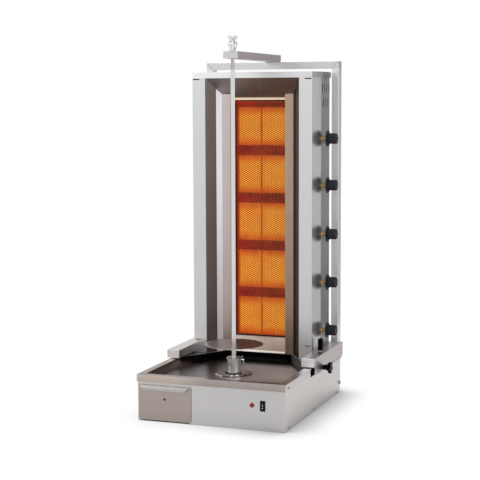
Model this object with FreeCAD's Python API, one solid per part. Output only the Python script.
import FreeCAD, Part
import math
import os

# Vertical rotisserie broiler with five gas burners, one STEP file per piece, in mm.
# Frame: +Z up, -Y is the operator's side, +X the operator's right,
# origin on the spit axis at table level.
V = FreeCAD.Vector
X, Y, Z = V(1, 0, 0), V(0, 1, 0), V(0, 0, 1)
SIDES = (-1, 1)           # left, right
os.makedirs("parts", exist_ok=True)

# ---------------- driving dimensions ----------------
SHEET = 1.5               # casing sheet
TOWER_SHEET = 1.2
CASE_X = 267.0            # half width of the casing
CASE_Y0, CASE_Y1 = -232.0, 414.5  # front and rear wall, outside faces
CASE_TOP = 160.4
WING_Y = 424.0            # rear edge of the side wings
LIP_X = 270.0             # half width of the tray lip
LIP_Y0, LIP_Y1 = -235.0, 427.0
LIP_Z0, LIP_Z1 = 137.0, 162.0
TRAY_FLOOR_Z = 135.0      # upper face

CASE_SCREWS = [(side * CASE_X, y) for side in SIDES for y in (-190, 90, 380)]
CASE_SCREW_Z = 9
SCREW_HOLE_R = 2.2
LIP_SCREW_Y, LIP_SCREW_Z = -208, 147
SIDE_BOLT_Y, SIDE_BOLT_Z = 418.6, 37
FRAME_BOLTS = [(side * 248, z) for side in SIDES for z in (45, 115)]
FRAME_BOLT_HOLE_R = 4.1

DRAWER_X0, DRAWER_X1 = -263.0, -69.5
DRAWER_Z0 = 6.0           # lower edge of the drawer front
DRAWER_BACK_Y = -233.2    # rear face of the drawer front

LAMP_X, LAMP_Z = 149.8, 85
ROCKER_Y, ROCKER_Z = -226.0, 84.5  # rocker pivot
GLAND_X, GLAND_Z = 150, 60

GEAR_MODULE, GEAR_TEETH, PINION_TEETH = 2.0, 48, 16
GEAR_BACKLASH = 0.16
GEAR_Z0, GEAR_Z1 = 60.0, 72.0
PINION_X = GEAR_MODULE * (GEAR_TEETH + PINION_TEETH) / 2.0
MOTOR_X = 128
SHAFT_R = 10

SPIT_TURN = 16.0          # resting turn of the square bar, degrees
BAR = 14.5                # square bar, across flats
BAR_TOP, ROD_R, ROD_TOP = 1203.0, 6.0, 1300
SOCKET_R, SOCKET_Z0, SOCKET_Z1 = 25.0, 138.0, 195.0
SOCKET_SCREW = V(0, 0, 184)
SOCKET_SCREW_AXIS = V(0.8, 0.6, 0)
PLATE_R, PLATE_Z = 103.5, 240.0
TOP_KNOB_Z = 1318.0

FRAME_X, FRAME_TUBE, FRAME_WALL = 261.0, 26.0, 1.5  # half width, tube width
FRAME_Y0, FRAME_Y1, FRAME_TOP, FRAME_BOTTOM = 414.5, 454.5, 1238.0, 20.0
ARM_X, ARM_WALL = 26.6, 2  # half width
ARM_Y0, ARM_Y1 = -22.0, 446.0
ARM_Z0, ARM_Z1 = 1240.0, 1264.5
PIVOT_Y = 428.0

RAIL_X0, RAIL_X1 = 232.3, 279.4
RIGHT_RAIL_X1 = 277.5     # the right rail is narrower and carries a skirt
RAIL_Y0, RAIL_Y1, RAIL_Z0, RAIL_Z1 = 53.0, 408.0, 165.3, 195.0
STAR_Y, STAR_Z = 168.0, 145.0
HANDLE_X, HANDLE_Y = 254, 214

PILLAR_X0, PILLAR_X1, PILLAR_Y = 179.3, 228.4, 190.0
TOWER_Z0, TOWER_Z1 = 164.0, 1176.4
WALL_X, WALL_Y0, WALL_Y1 = 241.0, 262.0, 364.0
HOOD_Z1 = 1197.7
VENT_R = 3.8              # half width of a vent slot
PILLAR_SCREWS = [(side * 212.0, z) for side in SIDES for z in (204, 192)]
WALL_SCREWS = [(275.0, 1003.0 - 175.5 * i) for i in range(5)]  # y, z

BURNER_ZS = [1001.5 - 176.2 * i for i in range(5)]
APRON_X = 105.5           # half width
MESH_X, MESH_Z0, MESH_Z1 = 105.6, 224.5, 1096.5
KNOB_Y, KNOB_ZS = 268.0, [959.0, 791.6, 614.3, 438.8, 262.4]
MANIFOLD_X, MANIFOLD_Y = 222, 300
INLET_X, INLET_Z = 190.0, 228.0


# ---------------- helpers ----------------
def box(x0, y0, z0, x1, y1, z1):
    """Box between two opposite corners, given in any order."""
    return Part.makeBox(abs(x1 - x0), abs(y1 - y0), abs(z1 - z0),
                        V(min(x0, x1), min(y0, y1), min(z0, z1)))


def cyl(x, y, z, radius, height, axis=Z):
    return Part.makeCylinder(radius, height, V(x, y, z), axis)


def face(points):
    return Part.Face(Part.makePolygon([V(*p) for p in points] + [V(*points[0])]))


def prism_z(points, z0, z1):
    return face([(x, y, z0) for x, y in points]).extrude(V(0, 0, z1 - z0))


def prism_x(points, x0, x1):
    return face([(x0, y, z) for y, z in points]).extrude(V(x1 - x0, 0, 0))


def prism_y(points, y0, y1):
    return face([(x, y0, z) for x, z in points]).extrude(V(0, y1 - y0, 0))


def lathe(points):
    """Revolve (radius, z) points about the Z axis."""
    return face([(radius, 0, z) for radius, z in points]).revolve(V(0, 0, 0), Z, 360)


def polar(radii):
    """Closed outline through radii spaced evenly round the origin."""
    step = 2 * math.pi / len(radii)
    return [(r * math.cos(step * i), r * math.sin(step * i)) for i, r in enumerate(radii)]


def strip(path, thickness):
    """Closed outline of a folded sheet; the thickness lies left of the path."""
    def offset(start, end):
        dx, dy = end[0] - start[0], end[1] - start[1]
        length = math.hypot(dx, dy)
        return (-dy / length * thickness, dx / length * thickness)

    offsets = [offset(start, end) for start, end in zip(path, path[1:])]
    before, after = offsets[:1] + offsets, offsets + offsets[-1:]
    far = []
    for (x, y), (ax, ay), (bx, by) in zip(path, before, after):
        mitre = thickness ** 2 / (thickness ** 2 + ax * bx + ay * by)
        far.append((x + (ax + bx) * mitre, y + (ay + by) * mitre))
    return list(path) + far[::-1]


def fuse(first, *others):
    for other in others:
        first = first.fuse(other)
    return first.removeSplitter()


def cut(shape, *tools):
    return shape.cut(tools[0] if len(tools) == 1 else Part.makeCompound(list(tools)))


def mirror(shape):
    return shape.mirror(V(0, 0, 0), X)


def group(*shapes):
    return Part.makeCompound([solid for shape in shapes for solid in shape.Solids])


def turn(shape, degrees, axis=Z):
    shape = shape.copy()
    shape.rotate(V(0, 0, 0), axis, degrees)
    return shape


def move(shape, x=0, y=0, z=0):
    shape = shape.copy()
    shape.translate(V(x, y, z))
    return shape


def place(shape, position, axis):
    """Put a shape built on the origin at a position, its Z along the axis."""
    shape.Placement = FreeCAD.Placement(position, FreeCAD.Rotation(Z, axis))
    return shape


def round_edges(shape, radius, pick):
    """Fillet the edges whose bounding box passes pick."""
    edges = [edge for edge in shape.Edges if pick(edge.BoundBox)]
    # Guards against a fillet the kernel cannot build: the edges then stay sharp.
    try:
        rounded = shape.makeFillet(radius, edges)
        if rounded.isValid():
            return rounded
    except Exception:
        pass
    return shape


def slot(x, y0, z0, y1, z1, radius, depth):
    """Round-ended slot along Y or Z between two end centres, cut along +X."""
    wide, tall = (radius, 0) if y0 == y1 else (0, radius)
    return fuse(box(x, y0 - wide, z0 - tall, x + depth, y1 + wide, z1 + tall),
                cyl(x, y0, z0, radius, depth, X), cyl(x, y1, z1, radius, depth, X))


def hexagon(x, y, z, flats, height, axis=Z):
    return place(prism_z(polar([flats / math.sqrt(3.0)] * 6), 0, height), V(x, y, z), axis)


PIECES = []


def piece(build):
    """Register a function that builds the piece of the same name."""
    PIECES.append(build)
    return build


def save(name, shape):
    solids = shape.Solids
    if not solids or any(not solid.isValid() or solid.Volume <= 0 for solid in solids):
        raise RuntimeError("%s: bad solids" % name)
    result = solids[0] if len(solids) == 1 else Part.makeCompound(solids)
    result.exportStep("parts/%s.step" % name)


# ---------------- base casing ----------------
@piece
def base_housing():
    """Four walls and two rear wings."""
    shell = box(-CASE_X, CASE_Y0, 0, CASE_X, CASE_Y1, CASE_TOP).cut(
        box(-CASE_X + SHEET, CASE_Y0 + SHEET, -1, CASE_X - SHEET, CASE_Y1 - SHEET, 161))
    shell = fuse(shell, *[box(side * (CASE_X - SHEET), CASE_Y1, 0, side * CASE_X, WING_Y, CASE_TOP)
                          for side in (1, -1)])
    cuts = [box(-258, CASE_Y0 - 1, -1, -74.5, CASE_Y0 + 2, 122),     # drawer
            cyl(LAMP_X, CASE_Y0 - 1, LAMP_Z, 6.0, 4, Y),
            box(179.6, CASE_Y0 - 1, 68.6, 195.4, CASE_Y0 + 2, 100.4),  # switch
            slot(CASE_X - 2, 58.5, 143.5, 205, 143.5, 13.5, 4),      # clamp bolt travel
            cyl(GLAND_X, CASE_Y1 - 3, GLAND_Z, 8.0, 6, Y)]
    for i in range(9):
        cuts.append(box(-120 + i * 22, CASE_Y1 - 3, 35, -114 + i * 22, CASE_Y1 + 1, 105))
    for x, y in CASE_SCREWS:
        cuts.append(cyl(x - 3, y, CASE_SCREW_Z, SCREW_HOLE_R, 6, X))
    for side in SIDES:
        cuts.append(cyl(side * CASE_X - 3, LIP_SCREW_Y, LIP_SCREW_Z, SCREW_HOLE_R, 6, X))
        cuts.append(cyl(side * CASE_X - 3, SIDE_BOLT_Y, SIDE_BOLT_Z, 2.6, 6, X))
    for x, z in FRAME_BOLTS:
        cuts.append(cyl(x, CASE_Y1 - 3, z, FRAME_BOLT_HOLE_R, 4, Y))
    return cut(shell, *cuts)


@piece
def base_floor():
    """Floor sheet with upturned edges; the front one stops short of the drawer."""
    gap, height = 0.1, 18
    half = CASE_X - SHEET - gap
    y0, y1 = CASE_Y0 + SHEET + gap, CASE_Y1 - SHEET - gap
    floor = fuse(box(-half, y0, 0, half, y1, SHEET),
                 box(half - SHEET, y0, 0, half, y1, height),
                 box(-half, y0, 0, -half + SHEET, y1, height),
                 box(-60, y0, 0, half, y0 + SHEET, height),
                 box(-half, y1 - SHEET, 0, half, y1, height))
    return cut(floor, *[cyl(x - 4, y, CASE_SCREW_Z, SCREW_HOLE_R, 8, X) for x, y in CASE_SCREWS])


# ---------------- drip tray ----------------
# Inner outlines of the recess (x, y), with cut rear corners
RECESS_TOP = [(-245, -211), (245, -211), (245, 78), (120, 281), (-120, 281), (-245, 78)]
RECESS_FLOOR = [(-227, -195), (227, -195), (227, 70), (111, 262), (-111, 262), (-227, 70)]


def pushed_out(points, distance):
    return [(x + math.copysign(distance, x), y + math.copysign(distance, y)) for x, y in points]


def recess(top, floor, floor_z):
    wires = [Part.makePolygon([V(x, y, z) for x, y in points + points[:1]])
             for points, z in ((top, LIP_Z1), (floor, floor_z))]
    return Part.makeLoft(wires, True, True)


@piece
def drip_tray():
    """Rim, folded lip and sloped recess."""
    inner = recess(RECESS_TOP, RECESS_FLOOR, TRAY_FLOOR_Z)
    outer = recess(pushed_out(RECESS_TOP, 1.6), pushed_out(RECESS_FLOOR, 1.4),
                   TRAY_FLOOR_Z - SHEET)
    rim = box(-LIP_X, LIP_Y0, LIP_Z1 - SHEET, LIP_X, LIP_Y1, LIP_Z1)
    lip = box(-LIP_X, LIP_Y0, LIP_Z0, LIP_X, LIP_Y1, LIP_Z1).cut(
        box(-LIP_X + SHEET, LIP_Y0 + SHEET, 100, LIP_X - SHEET, LIP_Y1 - SHEET, 170))
    tray = rim.fuse(lip).fuse(outer).cut(inner)
    cuts = [cyl(0, 0, 120, 62, 30)]
    for side in SIDES:
        cuts.append(box(side * 233.3, 413.0, 120, side * 262.7, 430, 170))  # frame legs
        cuts.append(cyl(side * LIP_X - 4, LIP_SCREW_Y, LIP_SCREW_Z, SCREW_HOLE_R, 8, X))
    # Groove in the front lip, then the round-ended gap in the right lip
    cuts.append(box(259.4, LIP_Y0 - 1, 136, 260.1, LIP_Y0 + 0.6, 159.5))
    cuts += [box(267.4, 52, 130, 272, 216, 170), cyl(267.4, 52, 149, 13.2, 5, X)]
    return cut(tray, *cuts).removeSplitter()


@piece
def strainer_ring():
    ring = lathe([(30, 135.0), (30, 136.4), (36, 138.8), (61, 138.8), (67, 136.4), (67, 135.0),
                  (64.5, 135.0), (60, 137.5), (37, 137.5), (32, 135.0)])
    return cut(ring, *[turn(box(39, -2.2, 130, 58, 2.2, 145), 22.5 * i) for i in range(16)])


@piece
def drip_funnel():
    """Annular cup round the shaft, with a sloped chute towards -X."""
    base, sheet, half = 121, 1.3, 15.2
    funnel = lathe([(12.0, base), (13.4, base), (13.4, 136), (12.0, 136)])
    funnel = funnel.fuse(lathe([(13.4, base), (64, base), (64, 133.4), (62.6, 133.4),
                                (62.6, base + sheet), (13.4, base + sheet)]))
    funnel = funnel.cut(box(-70, -14, base + sheet, -55, 14, 140))
    funnel = funnel.fuse(prism_y([(-61, base), (-61, base + sheet), (-103, 117.5),
                                  (-103, 116.2)], -half, half))
    for y0, y1 in ((-half, -14.0), (14.0, half)):
        funnel = funnel.fuse(prism_y([(-61.5, base), (-61.5, 132), (-103, 127),
                                      (-103, 116.2)], y0, y1))
    return funnel.removeSplitter()


# ---------------- fat drawer ----------------
@piece
def drawer_front():
    """Front sheet with a hooked pull lip along its top."""
    front = box(DRAWER_X0, LIP_Y0, DRAWER_Z0, DRAWER_X1, DRAWER_BACK_Y, 128)
    front = round_edges(front, 8.0, lambda span: abs(span.ZMax - DRAWER_Z0) < 1e-3
                        and span.XLength < 1e-3 and span.YLength > 1)
    lip_path = [(-234.4, 126.8), (-241.5, 125.6), (-245.0, 121.5), (-245.4, 112.5)]  # y, z
    lip = prism_x(strip(lip_path, 1.3), DRAWER_X0 + 1, DRAWER_X1)
    # Material trimmed off the right and left end of the lip (x, z)
    for trim in ([(-92, 100), (-60, 100), (-60, 140), (-74, 140), (-76, 127), (-92, 111)],
                 [(-242, 100), (-280, 100), (-280, 140), (-260, 140), (-258, 127), (-242, 111)]):
        lip = lip.cut(prism_y(trim, -260, -233))
    return front.fuse(lip).cut(cyl(-166.5, -240, 80.6, 3, 10, Y)).removeSplitter()


@piece
def drawer_pan():
    x0, x1, y1, z0, wall = -255, -78, 130, 10, 1.2
    return box(x0, DRAWER_BACK_Y, z0, x1, y1, 105).cut(
        box(x0 + wall, DRAWER_BACK_Y + wall, z0 + wall, x1 - wall, y1 - wall, 106))


@piece
def drawer_runners():
    y0, y1, top = -226, 140, 40
    # x range of the foot, start of the upright, x range of the top lip
    rows = ((-262.0, -249.0, -262.0, -262.0, -256.2), (-84.0, -71.0, -72.5, -76.8, -71.0))
    return group(*[fuse(box(x0, y0, 1.5, x1, y1, 3),
                        box(upright, y0, 1.5, upright + 1.5, y1, top),
                        box(x0, y0, 8.2, x1, y1, 9.8),
                        box(lip0, y0, 36, lip1, y1, top))
                   for x0, x1, upright, lip0, lip1 in rows])


# ---------------- gear motor under the tray ----------------
@piece
def motor_bracket():
    x0, x1, half, sheet, top = -30, 172, 61, 3, 103
    foot_z = 1.5
    bridge = fuse(box(x0, -half, top - sheet, x1, half, top),
                  box(x0, -half, foot_z, x1, -half + sheet, top),
                  box(x0, half - sheet, foot_z, x1, half, top),
                  box(x0, -76, foot_z, x1, -half + sheet, foot_z + sheet),
                  box(x0, half - sheet, foot_z, x1, 76, foot_z + sheet))
    return cut(bridge, cyl(0, 0, 90, 16, 20), *[cyl(140, y, 90, 2.6, 20) for y in (20, -20)])


@piece
def gearbox_case():
    shaft_hole_r = 6.05
    case = round_edges(box(38, -38, 77, 166, 38, 99.9), 8.0, lambda span: span.ZLength > 20)
    case = cut(case, cyl(PINION_X, 0, 76, shaft_hole_r, 18),
               *[cyl(140, y, 94, 2.5, 7) for y in (20, -20)])
    collar = cyl(PINION_X, 0, 74.0, 11, 3).cut(cyl(PINION_X, 0, 70, shaft_hole_r, 10))
    return fuse(case, collar)


@piece
def motor_body():
    body = fuse(cyl(MOTOR_X, 0, 14, 36, 63), cyl(MOTOR_X, 0, 8, 22, 6))
    groove = box(33.5, -1.5, 22, 40, 1.5, 68)
    return cut(body, *[move(turn(groove, 15 * i), MOTOR_X) for i in range(24)])


@piece
def drive_bearings():
    """Two flanged bushes; the upper one hangs flange up."""
    bush = cut(fuse(cyl(0, 0, 0, 22, 4.5), cyl(0, 0, 0, 16, 24.5)),
               cyl(0, 0, -1, SHAFT_R + 0.05, 30))
    return group(move(bush, z=1.5), move(turn(bush, 180, X), z=107.5))


def gear_outline(teeth, start_deg):
    """Involute spur gear outline, 20 degree pressure angle."""
    pressure = math.radians(20)
    pitch_r = GEAR_MODULE * teeth / 2.0
    base_r = pitch_r * math.cos(pressure)
    tip_r = pitch_r + 0.9 * GEAR_MODULE
    root_r = pitch_r - 1.25 * GEAR_MODULE
    half_tooth = math.pi / (2 * teeth) - GEAR_BACKLASH / (2 * pitch_r)

    def involute(angle):
        return math.tan(angle) - angle

    def half_angle(radius):
        roll = math.acos(base_r / max(radius, base_r))
        return half_tooth + involute(pressure) - involute(roll)

    flank_r = max(base_r, root_r)
    radii = [root_r, max(base_r, root_r + 0.1)]
    radii += [flank_r + (tip_r - flank_r) * part for part in (0.3, 0.65, 1.0)]
    steps = [(r, -half_angle(r)) for r in radii] + [(r, half_angle(r)) for r in radii[::-1]]
    points = []
    for i in range(teeth):
        centre = 2 * math.pi * i / teeth + math.radians(start_deg)
        points += [(r * math.cos(centre + a), r * math.sin(centre + a)) for r, a in steps]
    return points


@piece
def drive_gear():
    bore = cyl(0, 0, 50, SHAFT_R, 40)
    gear = cut(prism_z(gear_outline(GEAR_TEETH, 0), GEAR_Z0, GEAR_Z1), bore,
               *[turn(cyl(29, 0, 50, 7.5, 40), 60 * i + 30) for i in range(6)])
    return fuse(gear, cyl(0, 0, GEAR_Z1, 15, 6).cut(bore))


@piece
def motor_pinion():
    """Pinion, its teeth half a pitch round to mesh with the gear."""
    pinion = prism_z(gear_outline(PINION_TEETH, 180.0 / PINION_TEETH), GEAR_Z0, GEAR_Z1)
    return fuse(move(pinion, PINION_X), cyl(PINION_X, 0, GEAR_Z0 - 3, 6.0, 36))


@piece
def output_shaft():
    return cyl(0, 0, 2, SHAFT_R, 148)


# ---------------- spit ----------------
def square_bar(half, z0, z1):
    return box(-half, -half, z0, half, half, z1)


@piece
def spit_socket():
    bore_top = 150
    socket = lathe([(SHAFT_R, SOCKET_Z0), (20.5, SOCKET_Z0), (SOCKET_R, 143), (SOCKET_R, 188.5),
                    (27, 190), (27, 193.6), (25.8, SOCKET_Z1), (0, SOCKET_Z1), (0, bore_top),
                    (SHAFT_R, bore_top)])
    socket = cut(socket, turn(square_bar(BAR / 2 + 0.2, bore_top, 200), SPIT_TURN),
                 cyl(0, 0, 172, 3.5, 30, V(-0.36, -0.933, 0)))
    socket = cut(socket, Part.makeCylinder(3.0, 40, SOCKET_SCREW, SOCKET_SCREW_AXIS))
    return round_edges(socket, 0.8, lambda span: abs(span.ZMin - SOCKET_Z1) < 1e-3
                       and span.XLength > 40)


@piece
def socket_screw():
    """Clamping screw of the socket, with a T-bar across its head."""
    def along(distance):
        return SOCKET_SCREW + SOCKET_SCREW_AXIS * distance

    screw = fuse(Part.makeCylinder(3.0, 22, along(11.5), SOCKET_SCREW_AXIS),
                 Part.makeCylinder(4.6, 6, along(29.5), SOCKET_SCREW_AXIS))
    # Upper half of the bar (radius, z); the lower half mirrors it
    half = [(1.7, 11.0), (2.4, 11.8), (2.8, 13.2), (2.5, 14.5), (1.5, 15.6), (0, 16)]
    tee = lathe([(radius, -z) for radius, z in half[::-1]] + half)
    return fuse(screw, place(tee, along(32.5), V(0.42, -0.56, -0.714)))


@piece
def spit_bar():
    """Square bar with a round rod at the top."""
    bar = round_edges(square_bar(BAR / 2, 152, BAR_TOP), 0.9, lambda span: span.ZLength > 500)
    bar = fuse(bar, cyl(0, 0, BAR_TOP - 1, ROD_R, ROD_TOP - BAR_TOP + 1))
    return turn(bar, SPIT_TURN)


@piece
def meat_plate():
    plate = round_edges(cyl(0, 0, PLATE_Z, PLATE_R, 2.0), 0.7, lambda span: span.XLength > 200)
    return plate.cut(turn(square_bar(BAR / 2, PLATE_Z - 10, PLATE_Z + 10), SPIT_TURN))


@piece
def top_knob():
    """Waisted knob with four flutes."""
    knob = lathe([(ROD_R, 1266), (10, 1266), (11.5, 1267.5), (12, 1272), (13.5, 1279),
                  (16.6, 1286), (17.5, 1290.5), (16.2, 1295.5), (11.5, 1299), (9, 1301),
                  (10.5, 1304), (15.2, 1308.5), (17.5, 1313), (16.6, 1316.6),
                  (13, TOP_KNOB_Z), (8, 1317.2), (0, 1314.5), (0, ROD_TOP), (ROD_R, ROD_TOP)])
    return cut(knob, *[turn(cyl(20.5, 0, 1272, 6.5, 60), 90 * i + 45 + SPIT_TURN)
                       for i in range(4)])


# ---------------- rear frame and swing arm ----------------
@piece
def rear_frame():
    """Inverted U of hollow rectangular tube."""
    inside = FRAME_X - FRAME_TUBE
    outer = box(-FRAME_X, FRAME_Y0, FRAME_BOTTOM, FRAME_X, FRAME_Y1, FRAME_TOP).cut(
        box(-inside, FRAME_Y0 - 1, 0, inside, FRAME_Y1 + 1, FRAME_TOP - FRAME_TUBE))
    wall = FRAME_WALL
    hollow = box(-FRAME_X + wall, FRAME_Y0 + wall, FRAME_BOTTOM - 1,
                 FRAME_X - wall, FRAME_Y1 - wall, FRAME_TOP - wall).cut(
        box(-inside - wall, FRAME_Y0 - 1, 0,
            inside + wall, FRAME_Y1 + 1, FRAME_TOP - FRAME_TUBE + wall))
    frame = round_edges(
        outer.cut(hollow), 1.2,
        lambda span: (span.ZLength > 1150 and abs(abs(span.XMin) - FRAME_X) < 0.01)
        or (abs(span.ZMin - FRAME_TOP) < 0.01 and span.XLength > 500))
    cuts = [cyl(0, PIVOT_Y, 1225, 8.0, 60)]
    cuts += [cyl(x, FRAME_Y0 - 1, z, FRAME_BOLT_HOLE_R, 4, Y) for x, z in FRAME_BOLTS]
    cuts += [cyl(side * FRAME_X - 3, SIDE_BOLT_Y, SIDE_BOLT_Z, 2.6, 6, X) for side in SIDES]
    return cut(frame, *cuts)


def rod_slot(radius):
    """Slot on the spit axis, open towards -X."""
    return fuse(box(-40, -radius, 1230, 0, radius, 1270), cyl(0, 0, 1230, radius, 40))


@piece
def swing_arm():
    wall = ARM_WALL
    arm = round_edges(box(-ARM_X, ARM_Y0, ARM_Z0, ARM_X, ARM_Y1, ARM_Z1), 1.5,
                      lambda span: span.YLength > 300)
    arm = arm.cut(box(-ARM_X + wall, ARM_Y0 + wall, ARM_Z0 + wall,
                      ARM_X - wall, ARM_Y1 - wall, ARM_Z1 - wall))
    arm = arm.fuse(cyl(0, PIVOT_Y, ARM_Z0 + 1, 14, ARM_Z1 - ARM_Z0 - 2))
    arm = cut(arm, cyl(0, PIVOT_Y, 1200, 8.06, 100), cyl(0, PIVOT_Y, ARM_Z1 - 4.5, 10.8, 10))
    return cut(arm, rod_slot(7.6))


@piece
def arm_bush():
    block = box(-ARM_X + ARM_WALL, -18, ARM_Z0 + ARM_WALL,
                ARM_X - ARM_WALL, 18, ARM_Z1 - ARM_WALL)
    return block.cut(rod_slot(6.7))


@piece
def pivot_hardware():
    """Socket-head bolt, washer and nut."""
    bolt_r = 8.0
    bolt = fuse(cyl(0, PIVOT_Y, 1214, bolt_r, 48), cyl(0, PIVOT_Y, ARM_Z1 - 4.4, 10.5, 4.2))
    bolt = bolt.cut(hexagon(0, PIVOT_Y, ARM_Z1 - 3.2, 8, 6))
    washer = cyl(0, PIVOT_Y, FRAME_TOP, 26, 1.95).cut(cyl(0, PIVOT_Y, 1230, bolt_r, 20))
    nut = hexagon(0, PIVOT_Y, FRAME_TOP - FRAME_WALL - 8.05, 22, 8)
    return group(bolt, washer, nut.cut(cyl(0, PIVOT_Y, 1200, bolt_r, 60)))


# ---------------- base fasteners, electrics ----------------
@piece
def base_fasteners():
    parts = []
    for x, y in CASE_SCREWS:
        out = X * (1 if x > 0 else -1)
        parts.append(fuse(cyl(x, y, CASE_SCREW_Z, 4.0, 2.0, out),
                          cyl(x, y, CASE_SCREW_Z, 2.1, 4.6, out * -1)))
    for side in SIDES:
        x, y, z = side * LIP_X, LIP_SCREW_Y, LIP_SCREW_Z
        # The driver slot is kept clear of the lower part of the head
        driver = box(x - 3, y - 1, z - 4, x + 3, y + 1, z + 4).cut(
            box(-LIP_X - 1.2, -220, 100, LIP_X + 1.2, -200, 200))
        parts.append(fuse(cyl(x, y, z, 4.2, 2.4, X * side),
                          cyl(x, y, z, 2.1, 8, X * -side)).cut(driver))
        x, y, z = side * CASE_X, SIDE_BOLT_Y, SIDE_BOLT_Z
        parts.append(fuse(hexagon(x, y, z, 11, 4.0, X * side),
                          cyl(x, y, z, 2.4, 12, X * -side)))
    y = CASE_Y1 - SHEET - 4
    for x, z in FRAME_BOLTS:
        parts.append(fuse(hexagon(x, y, z, 11, 4, Y), cyl(x, y, z, 4.0, 12, Y)))
    return group(*parts)


@piece
def indicator_lamp():
    """Flanged barrel with a domed lens sunk in its face."""
    body = fuse(cyl(LAMP_X, CASE_Y0, LAMP_Z, 7.8, 2.0, Y * -1),
                cyl(LAMP_X, CASE_Y0, LAMP_Z, 5.9, 16, Y))
    lens = Part.makeSphere(9, V(LAMP_X, CASE_Y0 + 6.6, LAMP_Z)).common(
        cyl(LAMP_X, CASE_Y0 - 4, LAMP_Z, 5.2, 5, Y))
    return fuse(body.cut(cyl(LAMP_X, CASE_Y0 - 3, LAMP_Z, 5.2, 2.2, Y)), lens)


@piece
def switch_housing():
    body = fuse(box(178.4, CASE_Y0 - 2.2, 66.8, 196.6, CASE_Y0, 102.0),
                box(179.8, CASE_Y0, 68.8, 195.2, CASE_Y0 + 27, 100.2))
    body = round_edges(body, 1.5, lambda span: span.YLength > 1.5 and span.YMax < CASE_Y0 + 0.1
                       and span.ZLength < 0.1 and span.XLength < 0.1)
    return cut(body, box(181.6, CASE_Y0 - 5, 70.6, 193.4, CASE_Y0 + 20, 98.4),
               cyl(180.4, ROCKER_Y, ROCKER_Z, 1.6, 14.2, X))


@piece
def switch_rocker():
    outline = [(-236.4, 73.6), (-234.2, 84.5), (-236.4, 95.4), (-233.0, 96.4),
               (-223, 91), (-220, 84.5), (-223, 78), (-233.0, 72.6)]  # y, z
    return fuse(prism_x(outline, 182.0, 193.0), cyl(180.7, ROCKER_Y, ROCKER_Z, 1.5, 13.6, X))


@piece
def power_gland():
    """Stepped gland and cable stub; rows are start behind the wall, radius, length."""
    return fuse(*[cyl(GLAND_X, CASE_Y1 + start, GLAND_Z, radius, length, Y)
                  for start, radius, length in ((0, 11, 6), (-6, 7.8, 8), (6, 9, 9), (10, 4.2, 24))])


# ---------------- sliding carriage ----------------
def rail_tube(x0, x1):
    """Tube open at the rear, with a shallow panel opening in its front wall."""
    rail = round_edges(box(x0, RAIL_Y0, RAIL_Z0, x1, RAIL_Y1, RAIL_Z1), 1.2,
                       lambda span: abs(span.ZMin - RAIL_Z1) < 0.01
                       and abs(span.YMin - RAIL_Y1) > 1)
    rail = rail.cut(box(x0 + 2, RAIL_Y0 + 2, RAIL_Z0 + 2, x1 - 2, RAIL_Y1 + 1, RAIL_Z1 - 2))
    return rail.cut(box(x0 + 4, RAIL_Y0 - 1, RAIL_Z0 + 4, x1 - 4, RAIL_Y0 + 0.8, RAIL_Z1 - 4))


@piece
def left_rail():
    return rail_tube(-RAIL_X1, -RAIL_X0)


@piece
def right_rail():
    """Rail with an outer skirt marked with eleven scale lines."""
    skirt = prism_x([(66, 134.7), (396, 134.7), (414, 142), (420, 152), (420, 194), (66, 194)],
                    RIGHT_RAIL_X1, RIGHT_RAIL_X1 + 2)
    ticks = [box(279.1, 285 + 10 * i, 138, 280, 286 + 10 * i, 146 if i % 5 else 149)
             for i in range(11)]
    return cut(rail_tube(RAIL_X0, RIGHT_RAIL_X1).fuse(skirt), cyl(270, STAR_Y, STAR_Z, 4.3, 12, X),
               cyl(HANDLE_X, HANDLE_Y, 185, 5.05, 20), *ticks).removeSplitter()


@piece
def slide_shoes():
    return group(*[box(side * 247, y, LIP_Z1 + 0.05, side * 265.5, y + 34, RAIL_Z0)
                   for side in SIDES for y in (84, 362)])


# ---------------- tower shell ----------------
@piece
def pillars():
    path = [(PILLAR_X1, PILLAR_Y), (PILLAR_X0, PILLAR_Y), (154.5, 233)]
    screw_x = PILLAR_SCREWS[-1][0]
    pillar = cut(prism_z(strip(path, -TOWER_SHEET), TOWER_Z0, TOWER_Z1),
                 box(201, PILLAR_Y - 1, 1170.6, 226, PILLAR_Y + 2, 1174.6),
                 box(screw_x - 11, PILLAR_Y - 1, 211.0, screw_x + 11, PILLAR_Y + 0.5, 214.8),
                 *[cyl(x, PILLAR_Y - 1, z, 1.3, 4, Y) for x, z in PILLAR_SCREWS if x > 0])
    return group(pillar, mirror(pillar))


def side_panel():
    """Right-hand side sheet with its screw holes."""
    rear = WALL_Y1 - 0.05
    path = [(PILLAR_X1 + 0.15, PILLAR_Y + 1.6), (WALL_X, WALL_Y0), (WALL_X, rear),
            (WALL_X - 20, rear)]
    return cut(prism_z(strip(path, TOWER_SHEET), RAIL_Z1 + 0.3, TOWER_Z1),
               *[cyl(WALL_X - 3, y, z, 1.6, 5, X) for y, z in WALL_SCREWS])


@piece
def left_side_panel():
    return mirror(side_panel())


@piece
def right_side_panel():
    """Side panel with two rows of vents and the knob holes."""
    cuts = [slot(WALL_X - 3, y, z0, y, z1, VENT_R, 5)
            for ys, z0, z1 in (((272, 300, 328, 356), 1127, 1151.7),
                               ((286, 314, 342), 1073.5, 1100.5)) for y in ys]
    return cut(side_panel(), *cuts, *[cyl(WALL_X - 3, KNOB_Y, z, 8.1, 5, X) for z in KNOB_ZS])


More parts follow.
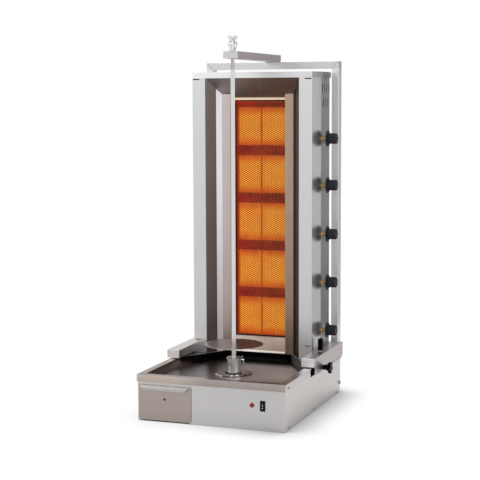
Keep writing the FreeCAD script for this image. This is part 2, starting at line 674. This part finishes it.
@piece
def tower_back():
    """Slotted rear sheet with a bottom fold running forward."""
    back = fuse(box(-WALL_X, WALL_Y1, RAIL_Z1 + 0.2, WALL_X, WALL_Y1 + TOWER_SHEET, TOWER_Z1),
                box(-239.6, 300.4, RAIL_Z1 + 0.2, 239.6, WALL_Y1, RAIL_Z1 + 1.3))
    cuts = [box(x, WALL_Y1 - 1, 300 + 60 * i, x + 70, WALL_Y1 + 3, 306 + 60 * i)
            for x in (-100, 30) for i in range(14)]
    cuts.append(cyl(INLET_X, WALL_Y1 - 2, INLET_Z, 12, 6, Y))
    # The fold clears the side panels' rear flanges
    cuts += [box(side * 219, 360.5, 190, side * 245, WALL_Y1 - 0.001, 197) for side in (1, -1)]
    return cut(back, *cuts)


def hood_outline(front_x, front_y, half, knee_y, rear_y):
    return [(-front_x, front_y), (front_x, front_y), (half, knee_y), (half, rear_y),
            (-half, rear_y), (-half, knee_y)]


@piece
def hood_cap():
    outside = hood_outline(PILLAR_X1, 189.4, 245, WALL_Y0, 368.5)
    inside = hood_outline(PILLAR_X1 - 1.0, 190.6, 243.8, WALL_Y0 + 0.1, 367.3)
    cap = prism_z(outside, TOWER_Z1 + 0.1, HOOD_Z1).cut(
        prism_z(inside, TOWER_Z1 - 1, HOOD_Z1 - TOWER_SHEET))
    cap = cut(cap, *[box(-170 + 24 * i, 290, HOOD_Z1 - 3, -160 + 24 * i, 345, HOOD_Z1 + 1)
                     for i in range(15)])
    return round_edges(cap, 0.9, lambda span: abs(span.ZMin - HOOD_Z1) < 0.01
                       and span.ZLength < 0.01
                       and (span.XLength > 300 or 70 < span.YLength < 110))


def deflector_z(y):
    """Height of the sloped deflector's underside."""
    return TOWER_Z1 - 0.6 - 0.856 * (y - 191.6)


@piece
def hood_deflector():
    """Sheet sloping down to the rear, trimmed to fit between the reflectors."""
    profile = strip([(191.6, deflector_z(191.6)), (272, deflector_z(272)), (272, 1098.0)],
                    TOWER_SHEET)
    right = [(178.0, 191), (153.6, 233.4), (136.6, 255.3), (105.4, 256.2), (105.4, 280)]
    plan = [(-178.0, 191)] + right + [(-x, y) for x, y in right[:0:-1]]
    return prism_x(profile, -179, 179).common(prism_z(plan, 1080, 1180))


@piece
def reflectors():
    """Folded sheets beside the burners, cut away under the deflector."""
    path = [(107, 300), (107, 257), (137.5, 256), (154.0, 234.2)]
    sheet = prism_z(strip(path, -TOWER_SHEET), TOWER_Z0, TOWER_Z1)
    above = [(180, deflector_z(180) - 1.6), (272.6, deflector_z(272.6) - 1.6),
             (272.6, 1096.5), (310, 1096.5), (310, 1300), (180, 1300)]  # y, z
    sheet = cut(sheet, prism_x(above, 90, 200))
    return group(sheet, mirror(sheet))


@piece
def bottom_apron():
    apron = prism_x(strip([(272, 224), (272, 220), (253.5, 168.5)], TOWER_SHEET),
                    -APRON_X, APRON_X)
    return fuse(apron, cyl(-APRON_X, 252.2, 167.4, 3.2, 2 * APRON_X, X))


# ---------------- burners and gas line ----------------
@piece
def mesh_guard():
    """Sheet pierced by staggered rows of diamonds."""
    columns, rows = 8, 33
    pitch_x, pitch_z = 204.0 / columns, 864.0 / rows
    half_x, half_z = pitch_x / 2 - 1.6, pitch_z / 2 - 1.4
    holes = []
    for j in range(rows * 2 - 1):
        for i in range(columns - j % 2):
            x = -102 + pitch_x * (i + 0.5 + 0.5 * (j % 2))
            z = 228.5 + pitch_z * (0.5 + 0.5 * j)
            holes.append(prism_y([(x - half_x, z), (x, z - half_z), (x + half_x, z),
                                  (x, z + half_z)], 282, 285))
    return cut(box(-MESH_X, 283, MESH_Z0, MESH_X, 284, MESH_Z1), *holes)


@piece
def burner_plenums():
    """Hollow boxes with a flange, which is taller on the top burner."""
    plenums = []
    for z in BURNER_ZS:
        rise = 95.0 if z == BURNER_ZS[0] else 87.8
        plenum = fuse(box(-100, 302, z - 76, 100, 340, z + 76),
                      box(-104.8, 316, z - 87.8, 104.8, 318.5, z + rise))
        plenums.append(cut(plenum, box(-96.3, 300, z - 70.3, 96.3, 318, z + 70.3),
                           box(-90, 310, z - 64, 90, 338.5, z + 64)))
    return group(*plenums)


@piece
def ceramic_tiles():
    return group(*[box(side * 0.35, 300, z - 70, side * 96.0, 313, z + 70)
                   for z in BURNER_ZS for side in SIDES])


@piece
def injector_tubes():
    radius, tubes = 4.0, []
    for z in KNOB_ZS:
        path = [V(211.9, KNOB_Y, z), V(166, KNOB_Y, z), V(132, 325, z), V(100.0, 325, z)]
        runs = [Part.makeCylinder(radius, (end - start).Length, start, end - start)
                for start, end in zip(path, path[1:])]
        tube = runs[0].fuse(runs[1]).fuse(runs[2])
        for bend in path[1:3]:
            tube = tube.fuse(Part.makeSphere(radius, bend))
        tubes.append(tube)
    return group(*tubes)


@piece
def gas_manifold():
    """Upright pipe with a cross pipe to the rear inlet."""
    x, y, reach = MANIFOLD_X, MANIFOLD_Y, MANIFOLD_X - INLET_X
    pipe = fuse(cyl(x, y, 214, 9, 776), cyl(x, y, INLET_Z, 7.6, reach, X * -1),
                cyl(INLET_X, 287, INLET_Z, 9, 82.5, Y), hexagon(INLET_X, 366, INLET_Z, 24, 6, Y),
                cyl(INLET_X, 371.5, INLET_Z, 10.5, 20.5, Y))
    return cut(pipe, fuse(cyl(x, y, 220, 6.5, 764), cyl(x, y, INLET_Z, 5.2, reach, X * -1),
                          cyl(INLET_X, 291, INLET_Z, 6.5, 110, Y)))


# Valve parts are built at height 0 and moved up to each knob.
@piece
def valve_bodies():
    body = fuse(box(212, 257, -12, 236, 279, 12), cyl(236, KNOB_Y, 0, 8.0, 14, X),
                hexagon(241.1, KNOB_Y, 0, 18, 5.5, X), cyl(MANIFOLD_X, 279, 0, 5.5, 12.0, Y),
                cyl(247.8, KNOB_Y, -19, 1.7, 14), cyl(247.8, KNOB_Y, -20, 2.6, 3))
    body = cut(body, cyl(215.9, KNOB_Y, 0, 7.06, 16.2, X), cyl(231, KNOB_Y, 0, 4.06, 25, X))
    return group(*[move(body, z=z) for z in KNOB_ZS])


def valve_spindle():
    return fuse(cyl(216, KNOB_Y, 0, 7.0, 16, X), cyl(231, KNOB_Y, 0, 4.0, 54, X),
                cyl(251.4, KNOB_Y, 0, 6.4, 4.4, X))


def gas_knob():
    """Fluted grip on a skirt."""
    flute = (0.25, 0.12, -0.3, -0.75, -0.3, 0.12)  # added to the grip radius
    grip = polar([18.75 + flute[i % 6] for i in range(144)])
    skirt = lathe([(0, 0), (27.6, 0), (29, 1.0), (29, 3.0), (27.2, 4.6), (0, 5.4)])
    knob = fuse(skirt, prism_z(grip, 4.0, 34.2), cyl(0, 0, 34.2, 17.4, 1.8))
    return place(cut(knob, cyl(0, 0, -1, 4.08, 28.5)), V(261.5, KNOB_Y, 0), X)


# ---------------- clamp, push handle, tower fasteners ----------------
@piece
def star_knob():
    """Five-lobed knob with a tapered neck towards the casing."""
    lobes = polar([16.6 + 4.6 * math.cos(5 * 2 * math.pi * i / 60) for i in range(60)])
    star = fuse(prism_z(lobes, 0, 11), Part.makeCone(8.5, 11, 20, V(0, 0, -18), Z))
    return place(star.cut(cyl(0, 0, -20, 4.05, 26)), V(297.6, STAR_Y, STAR_Z), X)


@piece
def clamp_bolt():
    return fuse(box(259.5, STAR_Y - 18, 128.5, 264.5, STAR_Y + 18, 158.5),
                cyl(262, STAR_Y, STAR_Z, 4.0, 38.5, X))


@piece
def handle_cap():
    radius, base, length = 9.8, 197.0, 34.5
    cap = fuse(cyl(HANDLE_X, HANDLE_Y, base, radius, length),
               Part.makeSphere(radius, V(HANDLE_X, HANDLE_Y, base + length)))
    return cut(cap, cyl(HANDLE_X, HANDLE_Y, 190, 5.0, 36))


@piece
def tower_fasteners():
    """Handle stud with its washer, pillar screws and side panel screws."""
    parts = [fuse(cyl(HANDLE_X, HANDLE_Y, RAIL_Z1, 12.0, 1.8),
                  cyl(HANDLE_X, HANDLE_Y, 182, 5.0, 42))]
    for x, z in PILLAR_SCREWS:
        parts.append(fuse(cyl(x, PILLAR_Y, z, 2.4, 1.2, Y * -1), cyl(x, PILLAR_Y, z, 1.2, 6, Y)))
    for side in SIDES:
        for y, z in WALL_SCREWS:
            parts.append(fuse(cyl(side * WALL_X, y, z, 2.8, 1.2, X * side),
                              cyl(side * WALL_X, y, z, 1.5, 5, X * -side)))
    return group(*parts)


for build in PIECES:
    save(build.__name__, build())
for number, height in enumerate(KNOB_ZS, 1):
    save("valve_spindle_%d" % number, move(valve_spindle(), z=height))
    save("gas_knob_%d" % number, move(gas_knob(), z=height))
